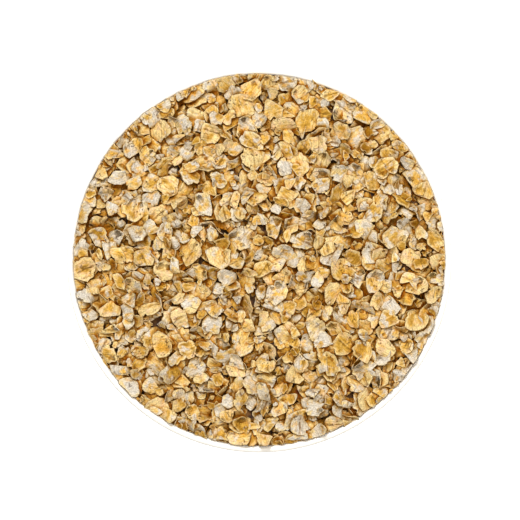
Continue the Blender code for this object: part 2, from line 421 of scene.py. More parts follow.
        dents = weighted(tree, lumps(self.dent_mm, 3.0, 2.3), (speck, 0.35), (fibre, 0.8), (groove, -0.5))
        bump = add(tree, "Bump", {"Strength": 1.0, "Distance": self.dent_depth, "Height": dents})
        tree.links.new(bump, shader.inputs["Normal"])
        shader.inputs["Roughness"].default_value = self.roughness
        shader.inputs["IOR"].default_value = 1.45
        shader.inputs["Specular IOR Level"].default_value = 0.06
        return material


@dataclass(frozen=True)
class PaintedShadeBedFinish:
    """Painted shade between the flakes: the bed under them, a dark golden brown crumb that stands in for the
    shade there.
    """

    light: str = "#70491C"
    dark: str = "#2E1604"
    crumb_mm: float = 1.8
    crumb_depth: float = 0.4 * MM

    def material(self) -> bpy.types.Material:
        """Makes the finish: to the eye a dark golden brown crumb, painted shade for the gaps between the
        flakes.

        Returns:
            The material.
        """
        material, tree, shader = new_material("packed_oat_crumb")
        place = add(tree, "TexCoord", out="Object")
        crumb = add(tree, "TexNoise", {"Vector": place, "Scale": 1 / (self.crumb_mm * MM), "Detail": 4.0})
        share = add(tree, "MapRange", {0: crumb, 1: 0.35, 2: 0.7}, **STEP)
        colour = add(tree, "Mix", {0: share, 6: linear(self.dark), 7: linear(self.light)}, **COLOURS)
        tree.links.new(colour, shader.inputs["Base Color"])
        bump = add(tree, "Bump", {"Strength": 0.8, "Distance": self.crumb_depth, "Height": crumb})
        tree.links.new(bump, shader.inputs["Normal"])
        shader.inputs["Roughness"].default_value = 0.85
        return material


@dataclass
class Bowl:
    """The porcelain bowl, with the sizes that its turned profile follows."""

    rim_radius: float
    height: float
    lip: float = 3.0 * MM
    inside_depth: float = 53.5 * MM
    floor: float = 3.6 * MM
    roundness: float = 2.4
    foot_outer: float = 37.0 * MM
    foot_inner: float = 31.8 * MM
    foot_edge: float = 0.7 * MM
    sides: int = 192
    finish: Glaze = field(default_factory=Glaze)

    @property
    def inner_radius(self) -> float:
        """The radius of the opening at the lip."""
        return self.rim_radius - self.lip

    def wall_height(self, radius: Array, reach: float, depth: float) -> Array:
        """Height of a wall surface: a quarter of a superellipse, upright at the rim and level in the middle.

        Args:
            radius: distance from the axis.
            reach: the surface's radius at the rim.
            depth: how far its middle lies below the rim.

        Returns:
            The height at each radius.
        """
        share = np.clip(radius / reach, 0, 1) ** self.roundness
        return self.height - depth * (1 - share) ** (1 / self.roundness)

    def wall(self, reach: float, depth: float, top: float, count: int) -> Array:
        """Points up a wall surface, evenly turned, from near its middle to a height.

        Args:
            reach: the surface's radius at the rim.
            depth: how far its middle lies below the rim.
            top: the height of the last point.
            count: how many points.

        Returns:
            Rows of radius and height.
        """
        last = math.acos(((self.height - top) / depth) ** (self.roundness / 2))
        turn = last * np.arange(1, count + 1) / count
        radius = reach * np.sin(turn) ** (2 / self.roundness)
        return np.stack([radius, self.wall_height(radius, reach, depth)], 1)

    def profile(self) -> Array:
        """The closed section from pole to pole: the inside, the lip, the outside and the underside.

        The lip is half a circle, the cove above the foot and the foot's own edges are quarter circles.

        Returns:
            Rows of radius and height, the first and the last on the axis.
        """
        half_lip = self.lip / 2
        outer_depth = self.inside_depth + self.floor
        shoulder = self.height - half_lip
        inside = self.wall(self.inner_radius, self.inside_depth, shoulder, 40)
        turn = np.linspace(0, math.pi, 15)[1:-1]
        middle = self.inner_radius + half_lip
        lip = np.stack([middle - half_lip * np.cos(turn), shoulder + half_lip * np.sin(turn)], 1)
        cove = 2.2 * MM
        outside = self.wall(self.rim_radius, outer_depth, shoulder, 60)[::-1]
        outside = outside[outside[:, 0] > self.foot_outer + cove]
        meet = float(self.wall_height(np.array(self.foot_outer + cove), self.rim_radius, outer_depth))
        quarter = np.linspace(0, math.pi / 2, 7)
        cove_arc = np.stack(
            [self.foot_outer + cove * (1 - np.sin(quarter)), meet - cove * (1 - np.cos(quarter))], 1
        )
        edge = self.foot_edge
        outer_edge = np.stack(
            [self.foot_outer - edge * (1 - np.cos(quarter)), edge * (1 - np.sin(quarter))], 1
        )
        inner_edge = np.stack(
            [self.foot_inner + edge * (1 - np.sin(quarter)), edge * (1 - np.cos(quarter))], 1
        )
        recess = np.linspace(self.foot_inner, 0, 12)
        under = np.stack([recess, self.wall_height(recess, self.rim_radius, outer_depth)], 1)
        start = np.array([[0.0, self.height - self.inside_depth]])
        return np.concatenate([start, inside, lip, outside, cove_arc, outer_edge, inner_edge, under])

    def build(self) -> bpy.types.Object:
        """Turns the profile about the axis: point (radius, height) becomes (radius cos, radius sin, height).

        Returns:
            The bowl, in its place, with its finish.
        """
        profile = self.profile()
        rings = profile[1:-1]
        angle = np.arange(self.sides) * math.tau / self.sides
        x = rings[:, :1] * np.cos(angle)
        y = rings[:, :1] * np.sin(angle)
        z = np.broadcast_to(rings[:, 1:], x.shape)
        body = np.stack([x, y, z], -1).reshape(-1, 3)
        poles = [[0.0, 0.0, profile[0, 1]], [0.0, 0.0, profile[-1, 1]]]
        points = np.concatenate([poles[:1], body, poles[1:]])
        triangles = ring_triangles(len(rings), self.sides)
        made = mesh_object("porcelain_bowl", points, triangles, {}, {})
        made.data.materials.append(self.finish.material())
        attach(made, "root")
        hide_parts("bowl")
        return made


class Kind(Enum):
    """The kinds of piece in the heap. Each becomes one joined mesh of that name."""

    WHOLE = "flakes_whole"
    FLOURY = "flakes_floury"
    BROKEN = "flakes_broken"
    SMALL = "flakes_small"
    BRAN = "flakes_bran"
    HUSK = "oat_husks"
    GROAT = "split_groats"
    CRUMB = "oat_crumbs"


class Section(Enum):
    """How a flake's shell is cut: rings at shares of the radius and of half the thickness.

    The rings run from the top to the edge. The last but one is the sharp edge of the top.
    """

    FINE = ((0.52, 1.0), (0.955, 1.0), (1.0, -0.4))
    PLAIN = ((0.93, 1.0), (1.0, -0.4))


@dataclass(frozen=True)
class KindForm:
    """How the pieces of one kind vary.

    A pair is the least and the most, but in breaks it is the chance of a first and a second straight break.
    Breadth is a share of the length, and wander how uneven the outline is. Notch is the chance of each of
    three notches, and crease that of a furrow. Curl is the bend in 1/m, and ruffle and wave are how high the
    rim and the face rise and fall. Sides is the number of corners round the outline. Lengths are in
    millimetres.
    """

    share: float
    length: tuple[float, float]
    breadth: tuple[float, float]
    thickness: tuple[float, float]
    wander: float
    notch: float
    breaks: tuple[float, float]
    curl: float
    ruffle: float
    wave: float
    crease: float
    tone: tuple[float, float]
    flour: tuple[float, float]
    amber: tuple[float, float]
    sides: int
    section: Section
    finish: FlakeFinish


KINDS: dict[Kind, KindForm] = {
    Kind.WHOLE: KindForm(
        share=0.16, length=(8.4, 12.4), breadth=(0.74, 0.98), thickness=(0.45, 0.8),
        wander=0.065, notch=0.6, breaks=(0.45, 0.35), curl=70.0, ruffle=0.5, wave=0.4, crease=0.3,
        tone=(0.0, 0.85), flour=(0.0, 0.8), amber=(0.0, 0.9), sides=28, section=Section.FINE,
        finish=FlakeFinish("rolled_oat_skin"),
    ),
    Kind.FLOURY: KindForm(
        share=0.22, length=(5.0, 10.8), breadth=(0.62, 0.98), thickness=(0.45, 0.85),
        wander=0.08, notch=0.6, breaks=(0.5, 0.5), curl=70.0, ruffle=0.5, wave=0.4, crease=0.15,
        tone=(0.0, 0.5), flour=(0.6, 1.0), amber=(0.0, 0.7), sides=26, section=Section.FINE,
        finish=FlakeFinish("rolled_oat_flour", flour_share=0.92),
    ),
    Kind.BROKEN: KindForm(
        share=0.38, length=(5.2, 10.6), breadth=(0.56, 0.95), thickness=(0.45, 0.8),
        wander=0.075, notch=0.6, breaks=(0.85, 0.6), curl=90.0, ruffle=0.48, wave=0.38, crease=0.25,
        tone=(0.1, 1.0), flour=(0.0, 0.85), amber=(0.1, 1.0), sides=24, section=Section.FINE,
        finish=FlakeFinish("broken_rolled_oat"),
    ),
    Kind.SMALL: KindForm(
        share=0.13, length=(3.0, 5.8), breadth=(0.45, 0.95), thickness=(0.4, 0.8),
        wander=0.08, notch=0.3, breaks=(0.7, 0.5), curl=100.0, ruffle=0.25, wave=0.14, crease=0.1,
        tone=(0.0, 1.0), flour=(0.1, 1.0), amber=(0.0, 1.0), sides=15, section=Section.PLAIN,
        finish=FlakeFinish("small_rolled_oat"),
    ),
    Kind.BRAN: KindForm(
        share=0.06, length=(3.2, 7.0), breadth=(0.5, 0.85), thickness=(0.4, 0.7),
        wander=0.08, notch=0.4, breaks=(0.6, 0.4), curl=130.0, ruffle=0.3, wave=0.2, crease=0.2,
        tone=(0.6, 1.0), flour=(0.0, 0.3), amber=(0.5, 1.0), sides=16, section=Section.PLAIN,
        finish=FlakeFinish(
            "oat_bran_skin",
            pale="#BC9248",
            tan="#A27628",
            amber="#98680F",
            deep_amber="#7A480E",
            flour_share=0.3,
        ),
    ),
    Kind.HUSK: KindForm(
        share=0.02, length=(4.5, 7.5), breadth=(0.34, 0.5), thickness=(0.4, 0.55),
        wander=0.04, notch=0.2, breaks=(0.3, 0.1), curl=170.0, ruffle=0.1, wave=0.1, crease=0.0,
        tone=(0.5, 1.0), flour=(0.0, 0.2), amber=(0.2, 0.8), sides=16, section=Section.PLAIN,
        finish=FlakeFinish("oat_husk", pale="#A8854E", tan="#8A6230", flour_share=0.1, stripes=0.8),
    ),
    Kind.GROAT: KindForm(
        share=0.05, length=(4.2, 8.0), breadth=(0.30, 0.46), thickness=(1.2, 1.8),
        wander=0.03, notch=0.1, breaks=(0.5, 0.3), curl=45.0, ruffle=0.05, wave=0.14, crease=0.6,
        tone=(0.1, 0.8), flour=(0.1, 0.8), amber=(0.1, 0.8), sides=16, section=Section.FINE,
        finish=FlakeFinish("split_oat_groat", stripes=0.35),
    ),
    Kind.CRUMB: KindForm(
        share=0.14, length=(0.8, 2.8), breadth=(0.4, 0.95), thickness=(0.4, 0.9),
        wander=0.12, notch=0.1, breaks=(0.6, 0.3), curl=60.0, ruffle=0.0, wave=0.05, crease=0.0,
        tone=(0.0, 1.0), flour=(0.2, 1.0), amber=(0.0, 0.9), sides=7, section=Section.PLAIN,
        finish=FlakeFinish("oat_crumb"),
    ),
}


def spread(values: Array, like: Array) -> Array:
    """Gives values that are one number a flake the shape to work with an array of those flakes' points."""
    return values.reshape(len(values), *[1] * (like.ndim - 1))


@dataclass
class FlakeSet:
    """Many flakes at once. Each field has one row a flake; lengths are in metres."""

    kind: Array
    length: Array
    breadth: Array
    thickness: Array
    swell: Array
    swell_phase: Array
    notch_depth: Array
    notch_angle: Array
    notch_width: Array
    chord_reach: Array
    chord_angle: Array
    bend: Array
    ruffle: Array
    ruffle_phase: Array
    wave_height: Array
    wave_x: Array
    wave_y: Array
    wave_phase: Array
    crease: Array
    tone: Array
    flour: Array
    amber: Array
    lot: Array

    def take(self, rows: Array) -> FlakeSet:
        """The flakes of some rows."""
        return FlakeSet(**{name: values[rows] for name, values in vars(self).items()})

    def outline(self, angle: Array) -> Array:
        """Distance from a flake's middle to its edge.

        It is an ellipse, swollen by a few waves round the edge, less a V at each notch, and cut off along
        straight chords, each at its own distance from the middle.

        Args:
            angle: the directions, one row a flake.

        Returns:
            One row a flake, one column a direction.
        """
        a, b = self.length[:, None] / 2, self.breadth[:, None] / 2
        radius = a * b / np.hypot(b * np.cos(angle), a * np.sin(angle))
        order = np.arange(2, 2 + self.swell.shape[1])[None, :, None]
        waves = self.swell[:, :, None] * np.cos(order * angle[:, None] + self.swell_phase[:, :, None])
        radius = radius * (1 + waves.sum(1))
        away = np.abs((angle[:, None] - self.notch_angle[:, :, None] + math.pi) % math.tau - math.pi)
        bite = np.clip(1 - away / self.notch_width[:, :, None], 0, 1) * self.notch_depth[:, :, None]
        radius = radius * (1 - bite.max(1))
        facing = np.cos(angle[:, None] - self.chord_angle[:, :, None])
        reach = (self.chord_reach * self.breadth[:, None] / 2)[:, :, None]
        chord = np.where(facing > 0.05, reach / np.maximum(facing, 0.05), 1.0)
        return np.minimum(radius, chord.min(1))

    def height(self, x: Array, y: Array) -> Array:
        """Height of a flake's middle surface over its own plane.

        It is a bend, which is half a quadratic in x and y, with a rim that turns up and down two and three
        times round, as the cube of the distance from the middle, and a few plane waves.

        Args:
            x: distance along the flake, one row a flake.
            y: distance across it.

        Returns:
            The height at each point.
        """
        bend_x, bend_xy, bend_y = (spread(part, x) for part in self.bend.T)
        rise = (bend_x * x * x + bend_y * y * y) / 2 + bend_xy * x * y
        out = np.minimum(np.hypot(x / spread(self.length, x), y / spread(self.breadth, x)) * 2, 1.15)
        way = np.arctan2(y, x)
        for order, (high, phase) in enumerate(zip(self.ruffle.T, self.ruffle_phase.T), start=2):
            rise = rise + spread(high, x) * out**3 * np.cos(order * way + spread(phase, x))
        for high, wave_x, wave_y, phase in zip(
            self.wave_height.T, self.wave_x.T, self.wave_y.T, self.wave_phase.T
        ):
            run = spread(wave_x, x) * x + spread(wave_y, x) * y
            rise = rise + spread(high, x) * np.sin(run + spread(phase, x))
        return rise


def draw_flakes(count: int, rng: np.random.Generator) -> FlakeSet:
    """Draws the sizes and shapes of a mixed batch of flakes.

    Args:
        count: how many.
        rng: the random numbers.

    Returns:
        The flakes, in the order in which they fall.
    """
    forms = list(KINDS.values())
    shares = np.array([form.share for form in forms])
    kind = rng.choice(len(forms), count, p=shares / shares.sum())

    def between(pick: Callable[[KindForm], tuple[float, float]]) -> Array:
        """A uniform draw between each kind's least and most."""
        bounds = np.array([pick(form) for form in forms])[kind]
        return bounds[:, 0] + (bounds[:, 1] - bounds[:, 0]) * rng.random(count)

    def each(pick: Callable[[KindForm], float]) -> Array:
        """One number for each flake from its kind."""
        return np.array([pick(form) for form in forms])[kind]

    orders, notches, facets, waves = 11, 3, 4, 3
    length = between(lambda form: form.length) * MM
    breadth = length * between(lambda form: form.breadth)
    fade = 1 / (1 + 0.22 * np.arange(orders))
    has_notch = rng.random((count, notches)) < each(lambda form: form.notch)[:, None]
    breaks = np.array([form.breaks for form in forms])[kind]
    broken = np.where(rng.random(breaks.shape) < breaks, rng.uniform(0.25, 0.85, breaks.shape), 9.0)
    facet = rng.uniform(0.74, 1.12, (count, facets))
    curl = each(lambda form: form.curl)
    cup = rng.normal(0, 0.4, count) * curl
    fold = rng.normal(0, 0.8, count) * curl
    way = rng.uniform(0, math.pi, count)
    bend = [cup + fold * np.cos(way) ** 2, fold * np.sin(way) * np.cos(way), cup + fold * np.sin(way) ** 2]
    crest = rng.uniform(3.6, 9.0, (count, waves)) * MM
    heading = rng.uniform(0, math.tau, (count, waves))
    small = np.clip(length / (9 * MM), 0.2, 1)
    wave = (each(lambda form: form.wave) * small)[:, None] * MM
    has_crease = rng.random(count) < each(lambda form: form.crease)
    return FlakeSet(
        kind=kind,
        length=length,
        breadth=breadth,
        thickness=between(lambda form: form.thickness) * MM,
        swell=rng.normal(0, 1, (count, orders)) * fade * each(lambda form: form.wander)[:, None],
        swell_phase=rng.uniform(0, math.tau, (count, orders)),
        notch_depth=np.where(has_notch, rng.uniform(0.10, 0.45, (count, notches)), 0.0),
        notch_angle=rng.uniform(0, math.tau, (count, notches)),
        notch_width=rng.uniform(0.18, 0.45, (count, notches)),
        chord_reach=np.concatenate([broken, facet], 1),
        chord_angle=rng.uniform(0, math.tau, (count, breaks.shape[1] + facets)),
        bend=np.stack(bend, 1),
        ruffle=rng.normal(0, 1, (count, 2)) * (each(lambda form: form.ruffle) * small)[:, None] * MM,
        ruffle_phase=rng.uniform(0, math.tau, (count, 2)),
        wave_height=rng.normal(0, 0.7, (count, waves)) * wave,
        wave_x=math.tau / crest * np.cos(heading),
        wave_y=math.tau / crest * np.sin(heading),
        wave_phase=rng.uniform(0, math.tau, (count, waves)),
        crease=np.where(has_crease, rng.uniform(0.5, 1.0, count), 0.0),
        tone=between(lambda form: form.tone),
        flour=between(lambda form: form.flour),
        amber=between(lambda form: form.amber),
        lot=rng.random(count),
    )


@dataclass
class Lay:
    """Where flakes lie: a middle, a turn in their own plane, and the plane's slope along X and Y."""

    middle: Array
    turn: Array
    slope: Array

    def axes(self) -> Array:
        """The flakes' own axes: their plane's, got by the shortest turn from level, then turned in the plane.

        Returns:
            A rotation matrix a flake.
        """
        upright = 1 / np.sqrt(1 + (self.slope**2).sum(1))
        nx, ny, nz = -self.slope[:, 0] * upright, -self.slope[:, 1] * upright, upright
        share = 1 / (1 + nz)
        tilt = np.empty((len(nz), 3, 3))
        tilt[:, 0] = np.stack([1 - nx * nx * share, -nx * ny * share, nx], -1)
        tilt[:, 1] = np.stack([-nx * ny * share, 1 - ny * ny * share, ny], -1)
        tilt[:, 2] = np.stack([-nx, -ny, nz], -1)
        spin = np.zeros_like(tilt)
        spin[:, 0, 0] = spin[:, 1, 1] = np.cos(self.turn)
        spin[:, 1, 0] = np.sin(self.turn)
        spin[:, 0, 1] = -spin[:, 1, 0]
        spin[:, 2, 2] = 1
        return tilt @ spin


@dataclass
class Heap:
    """Loose flakes dropped into a round bowl until they stand as high as a low dome.

    Tries is how many places a piece looks at, and sifting how many more the smallest look at. Nesting is how
    far a flake takes the bend of the ground under it, of at most most_bend in 1/m. The heap is filled
    heaped_edge higher within heaped_width of the wall, where wall_share of the pieces look for a place first.
    Leaning and steep are the shares of flakes that lie flatter than that. Looks are how near and how far a
    point looks for flakes that stand over it.
    """

    wall_radius: float
    edge_height: float
    crown: float = 4.3 * MM
    bed_depth: float = 4.6 * MM
    cell: float = 0.4 * MM
    tries: int = 3
    sifting: float = 14.0
    nesting: float = 0.7
    most_bend: float = 110.0
    seed: int = 7
    rim_rays: int = 48
    heaped_edge: float = 0.3 * MM
    heaped_width: float = 3.0 * MM
    wall_share: float = 0.30
    leaning: float = 0.68
    steep: float = 0.94
    drawn: int = 9000
    bed_gap: float = 0.15 * MM
    bed_bank: float = 1.3 * MM
    looks: tuple[float, float] = (0.6 * MM, 1.3 * MM)
    surface: Array = field(init=False, repr=False)

    def dome(self, radius: Array) -> Array:
        """Height of the finished heap: highest in the middle, falling with the square of the radius."""
        return self.edge_height + self.crown * (1 - (radius / self.wall_radius) ** 2)

    def bed_height(self, x: Array, y: Array) -> Array:
        """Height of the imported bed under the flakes: the dome, lowered, with lumps made by crossing waves."""
        lumps = np.sin(x / (1.9 * MM) + 1.3 * np.sin(y / (3.1 * MM))) * np.sin(
            y / (2.3 * MM) + np.sin(x / (2.7 * MM))
        )
        return self.dome(np.hypot(x, y)) - self.bed_depth + 0.45 * MM * lumps

    def drop(self) -> tuple[FlakeSet, Lay]:
        """Drops flakes one at a time, each in the lowest of a few places, until the heap is full.

        The heap is a height over a square grid. A flake comes to rest on the plane that lets its middle lie
        lowest while its underside clears the heap. Some lean over from that, sunk a little between others.

        Returns:
            The flakes that can be seen, and where they lie.
        """
        rng = np.random.default_rng(self.seed)
        count = int(2 * self.wall_radius / self.cell) + 3
        line = (np.arange(count) - (count - 1) / 2) * self.cell
        grid_x, grid_y = np.meshgrid(line, line, indexing="ij")
        radius = np.hypot(grid_x, grid_y)
        inside = radius < self.wall_radius
        goal = self.dome(radius) + self.heaped_edge * (radius > self.wall_radius - self.heaped_width)
        high = self.bed_height(grid_x, grid_y)
        owner = np.full(high.shape, -1)
        flakes = draw_flakes(self.drawn, rng)
        rays = np.arange(self.rim_rays + 1) * math.tau / self.rim_rays
        edge = flakes.outline(np.broadcast_to(rays, (len(flakes.kind), len(rays))))
        middles, turns, slopes = [], [], []
        for i in range(len(flakes.kind)):
            # after every fiftieth flake, see whether the heap is full
            if i % 50 == 0 and float((high - goal)[inside].mean()) > 0:
                break
            flake = flakes.take(np.array([i]))
            size, half_thick = float(flake.length[0]), float(flake.thickness[0]) / 2
            x, y = self.lowest_place(rng, size, line[0], np.where(inside, high - goal, 0.0))
            p, q = int(round((x - line[0]) / self.cell)), int(round((y - line[0]) / self.cell))
            half = int(0.66 * size / self.cell) + 2
            window = (slice(max(p - half, 0), p + half + 1), slice(max(q - half, 0), q + half + 1))
            dx, dy = grid_x[window] - x, grid_y[window] - y
            turn = rng.uniform(0, math.tau)
            lean, sink = self.lean(rng)
            near = (np.hypot(dx, dy) < 0.5 * size) & inside[window]
            flakes.bend[i] += self.nesting * self.ground_bend(dx[near], dy[near], high[window][near], turn)
            flake = flakes.take(np.array([i]))
            slope = np.zeros(2)
            for leaning in (np.zeros(2), lean):
                along, across = self.on_plane(dx, dy, turn, slope)
                reach = np.interp(np.arctan2(across, along) % math.tau, rays, edge[i])
                covered = (np.hypot(along, across) <= reach) & inside[window]
                if not covered.any():
                    break
                rise = flake.height(along[covered][None], across[covered][None])[0]
                at_x, at_y = dx[covered], dy[covered]
                clear = high[window][covered] - rise + half_thick
                if not leaning.any() and not slope.any():
                    slope = self.rest_slope(at_x, at_y, clear) + lean
            middles.append((x, y, 0.0))
            turns.append(turn)
            slopes.append(slope)
            if not covered.any():
                continue
            lift = float(np.quantile(clear - slope[0] * at_x - slope[1] * at_y, sink))
            top = lift + slope[0] * at_x + slope[1] * at_y + rise + half_thick * math.sqrt(1 + slope @ slope)
            under, mine = high[window], owner[window]
            mine[covered] = np.where(top > under[covered], i, mine[covered])
            under[covered] = np.maximum(under[covered], top)
            middles[-1] = (x, y, lift)
        self.surface = high
        seen = np.unique(owner[owner >= 0])
        LOG.info("%d flakes fell and %d of them show", len(middles), len(seen))
        return flakes.take(seen), Lay(np.array(middles)[seen], np.array(turns)[seen], np.array(slopes)[seen])

    def overlooked(self, points: Array) -> Array:
        """How much of the light the heap keeps off some points, which the flakes paint into their colour as
        shade.

        In each of eight directions it takes the steeper of two rises from the point to the heap's surface, a
        near one and a far one, as the sine of its angle. The mean is 0 on top of the heap and nearly 1 far
        down between flakes.

        Args:
            points: rows of X, Y and Z.

        Returns:
            A number for each point.
        """
        last = len(self.surface) - 1
        total = np.zeros(len(points))
        for way in np.arange(8) * math.tau / 8:
            steepest = np.zeros(len(points))
            for reach in self.looks:
                to = points[:, :2] + reach * np.array([math.cos(way), math.sin(way)])
                cells = np.clip(np.rint(to / self.cell + last / 2).astype(int), 0, last)
                rise = self.surface[cells[:, 0], cells[:, 1]] - points[:, 2]
                steepest = np.maximum(steepest, rise / np.hypot(rise, reach))
            total += steepest / 8
        return total

    def lowest_place(
        self, rng: np.random.Generator, size: float, start: float, over: Array
    ) -> tuple[float, float]:
        """Picks the place, of a few at random, where the heap is lowest against its dome.

        Small pieces try more places, because they sift down into the gaps. Some pieces try only along the
        wall, as long as the heap is low there.

        Args:
            rng: the random numbers.
            size: the flake's length.
            start: the grid's first coordinate.
            over: the heap's height over the dome, at each cell.

        Returns:
            The place.
        """
        tries = self.tries + int(self.sifting * math.exp(-size / (2.5 * MM)))
        look = max(1, int(0.3 * size / self.cell))
        for at_wall in (rng.random() < self.wall_share, False):
            reach = self.wall_radius * np.sqrt(rng.random(tries))
            if at_wall:
                reach = self.wall_radius - rng.uniform(0.04, 0.34, tries) * size
            way = rng.uniform(0, math.tau, tries)
            places = np.stack([reach * np.cos(way), reach * np.sin(way)], 1)
            cells = np.rint((places - start) / self.cell).astype(int)
            depth = [
                float(over[max(p - look, 0) : p + look + 1, max(q - look, 0) : q + look + 1].mean())
                for p, q in cells
            ]
            if not at_wall or min(depth) < 0:
                break
        return tuple(places[int(np.argmin(depth))])

    def lean(self, rng: np.random.Generator) -> tuple[Array, float]:
        """Draws how a flake leans from lying flat: most hardly, some clearly, a few steeply.

        Args:
            rng: the random numbers.

        Returns:
            The slope added to its plane, and the share of its underside that clears the heap.
        """
        pick, heading = rng.random(), rng.uniform(0, math.tau)
        amount = abs(rng.normal(0, 0.10))
        if pick > self.leaning:
            amount = rng.uniform(0.18, 0.50)
        if pick > self.steep:
            amount = rng.uniform(0.5, 1.4)
        return amount * np.array([math.cos(heading), math.sin(heading)]), 0.83 - 0.2 * min(amount, 1.0)

    @staticmethod
    def on_plane(dx: Array, dy: Array, turn: float, slope: Array) -> tuple[Array, Array]:
        """Distances along and across a flake of the points of its plane that lie over some grid cells.

        Args:
            dx: the cells' distance from its middle along X.
            dy: the same along Y.
            turn: the flake's turn.
            slope: its plane's slope along X and Y.

        Returns:
            Distance along the flake and across it.
        """
        axes = Lay(np.zeros((1, 3)), np.array([turn]), slope[None]).axes()[0]
        dz = slope[0] * dx + slope[1] * dy
        along = dx * axes[0, 0] + dy * axes[1, 0] + dz * axes[2, 0]
        across = dx * axes[0, 1] + dy * axes[1, 1] + dz * axes[2, 1]
        return along, across

    def ground_bend(self, dx: Array, dy: Array, ground: Array, turn: float) -> Array:
        """Finds how the ground under a flake bends, so that the flake can be one that nests on it.

        The ground is fitted by least squares with a plane and half a quadratic.

        Args:
            dx: the covered cells' distance from the flake's middle along X.
            dy: the same along Y.
            ground: the ground's height there.
            turn: the flake's turn.

        Returns:
            The bend along the flake, the mixed one and the one across it, in 1/m.
        """
        if len(dx) < 12:
            return np.zeros(3)
        x = dx * math.cos(turn) + dy * math.sin(turn)
        y = dy * math.cos(turn) - dx * math.sin(turn)
        terms = np.stack([np.ones_like(x), x, y, x * x / 2, x * y, y * y / 2], 1)
        scale = np.abs(terms).max(0)
        fit = np.linalg.lstsq(terms / scale, ground, rcond=1e-6)[0] / scale
        return np.clip(fit[3:], -self.most_bend, self.most_bend)

    @staticmethod
    def rest_slope(dx: Array, dy: Array, ground: Array) -> Array:
        """Finds the slope at which a flake's middle lies lowest while the flake clears the ground.

        The height at the middle is the most that the ground stands over the plane, so the search takes the
        slope that makes that least, on a grid of slopes that closes in on the best.

        Args:
            dx: the covered cells' distance from the flake's middle along X.
            dy: the same along Y.
            ground: the ground's height less the flake's own underside.

        Returns:
            The slope along X and Y.
        """
        best = np.zeros(2)
        span = 0.5
        for _ in range(4):
            steps = np.linspace(-span, span, 5)
            slope_x, slope_y = (best[0] + steps)[:, None], (best[1] + steps)[None, :]
            over = ground - slope_x[..., None] * dx - slope_y[..., None] * dy
            at = np.unravel_index(np.argmin(over.max(-1)), (5, 5))
            best = np.array([slope_x[at[0], 0], slope_y[0, at[1]]])
            span /= 2.2
        return best

    def shells(self, form: KindForm, flakes: FlakeSet, lay: Lay) -> tuple[Array, Array, Array]:
        """Works out the shells of some flakes of one kind.

        Each shell is a surface of two parameters: the direction, and a run from the middle of its top out to
        the edge and back to the middle of its underside. A point lies at a share of the outline's radius, and
        above or below the middle surface by a share of half the thickness, which thins towards the edge. An
        outline that would pass the bowl's wall stops there, as a flake pressed against the wall does.

        Args:
            form: the kind's form.
            flakes: the flakes.
            lay: where they lie.

        Returns:
            The points (flake, vertex, axis), each vertex's share of the radius, and its place along and
            across the flake.
        """
        section = np.array(form.section.value)
        out, side = section[:, 0], section[:, 1]
        uneven = 0.32 * np.sin(flakes.lot[:, None] * 97 + np.arange(form.sides) * 2.4)
        angle = (np.arange(form.sides) + uneven) * math.tau / form.sides
        axes = lay.axes()
        angle = self.meet_wall(angle, flakes, lay)
        edge = np.minimum(flakes.outline(angle), self.to_wall(angle, lay))
        share = np.concatenate([[0.0], np.repeat(out, form.sides), [0.0]])
        height = np.concatenate([[1.0], np.repeat(side, form.sides), [-1.0]])
        turn, reach = (
            np.concatenate([v[:, :1], np.tile(v, (1, len(out))), v[:, :1]], 1) for v in (angle, edge)
        )
        x, y = share * reach * np.cos(turn), share * reach * np.sin(turn)
        thick = flakes.thickness[:, None] / 2 * (1 - 0.4 * share**3)
        local = np.stack([x, y, flakes.height(x, y) + height * thick], -1)
        points = np.einsum("fij,fvj->fvi", axes, local) + lay.middle[:, None, :]
        return points, share, np.stack([x, y], -1) / MM

    def to_wall(self, angle: Array, lay: Lay) -> Array:
        """Distance in each flake's plane from its middle to the bowl's wall.

        The wall is a circle, so this is the positive root of a quadratic in the distance.

        Args:
            angle: the directions, one row a flake.
            lay: where the flakes lie.

        Returns:
            One row a flake, one column a direction, never quite zero.
        """
        axes = lay.axes()
        ways = axes[:, :2, 0, None] * np.cos(angle)[:, None] + axes[:, :2, 1, None] * np.sin(angle)[:, None]
        middle = lay.middle[:, :2]
        towards = (middle[:, :, None] * ways).sum(1)
        flat = (ways**2).sum(1)
        spare = self.wall_radius**2 - (middle**2).sum(1)[:, None]
        reach = (np.sqrt(np.maximum(towards**2 + flat * spare, 0)) - towards) / flat
        return np.maximum(reach, 0.05 * MM)

    def meet_wall(self, angle: Array, flakes: FlakeSet, lay: Lay) -> Array:
        """Moves the corner nearest to each crossing of outline and wall onto it, so that the cut is square.

        Args:
            angle: the corners' directions, one row a flake.
            flakes: the flakes.
            lay: where they lie.

        Returns:
            The directions, in the same order round the flake.
        """
        count, sides = angle.shape
        finer = 8
        fine = np.broadcast_to(np.arange(sides * finer) * math.tau / (sides * finer), (count, sides * finer))
        cut = flakes.outline(fine) > self.to_wall(fine, lay)
        flake, place = np.nonzero(cut != np.roll(cut, -1, 1))
        crossing = (place + 0.5) * math.tau / (sides * finer)
        away = np.abs((angle[flake] - crossing[:, None] + math.pi) % math.tau - math.pi)
        corner = away.argmin(1)
        moved = angle.copy()
        moved[flake, corner] += (crossing - angle[flake, corner] + math.pi) % math.tau - math.pi
        return moved

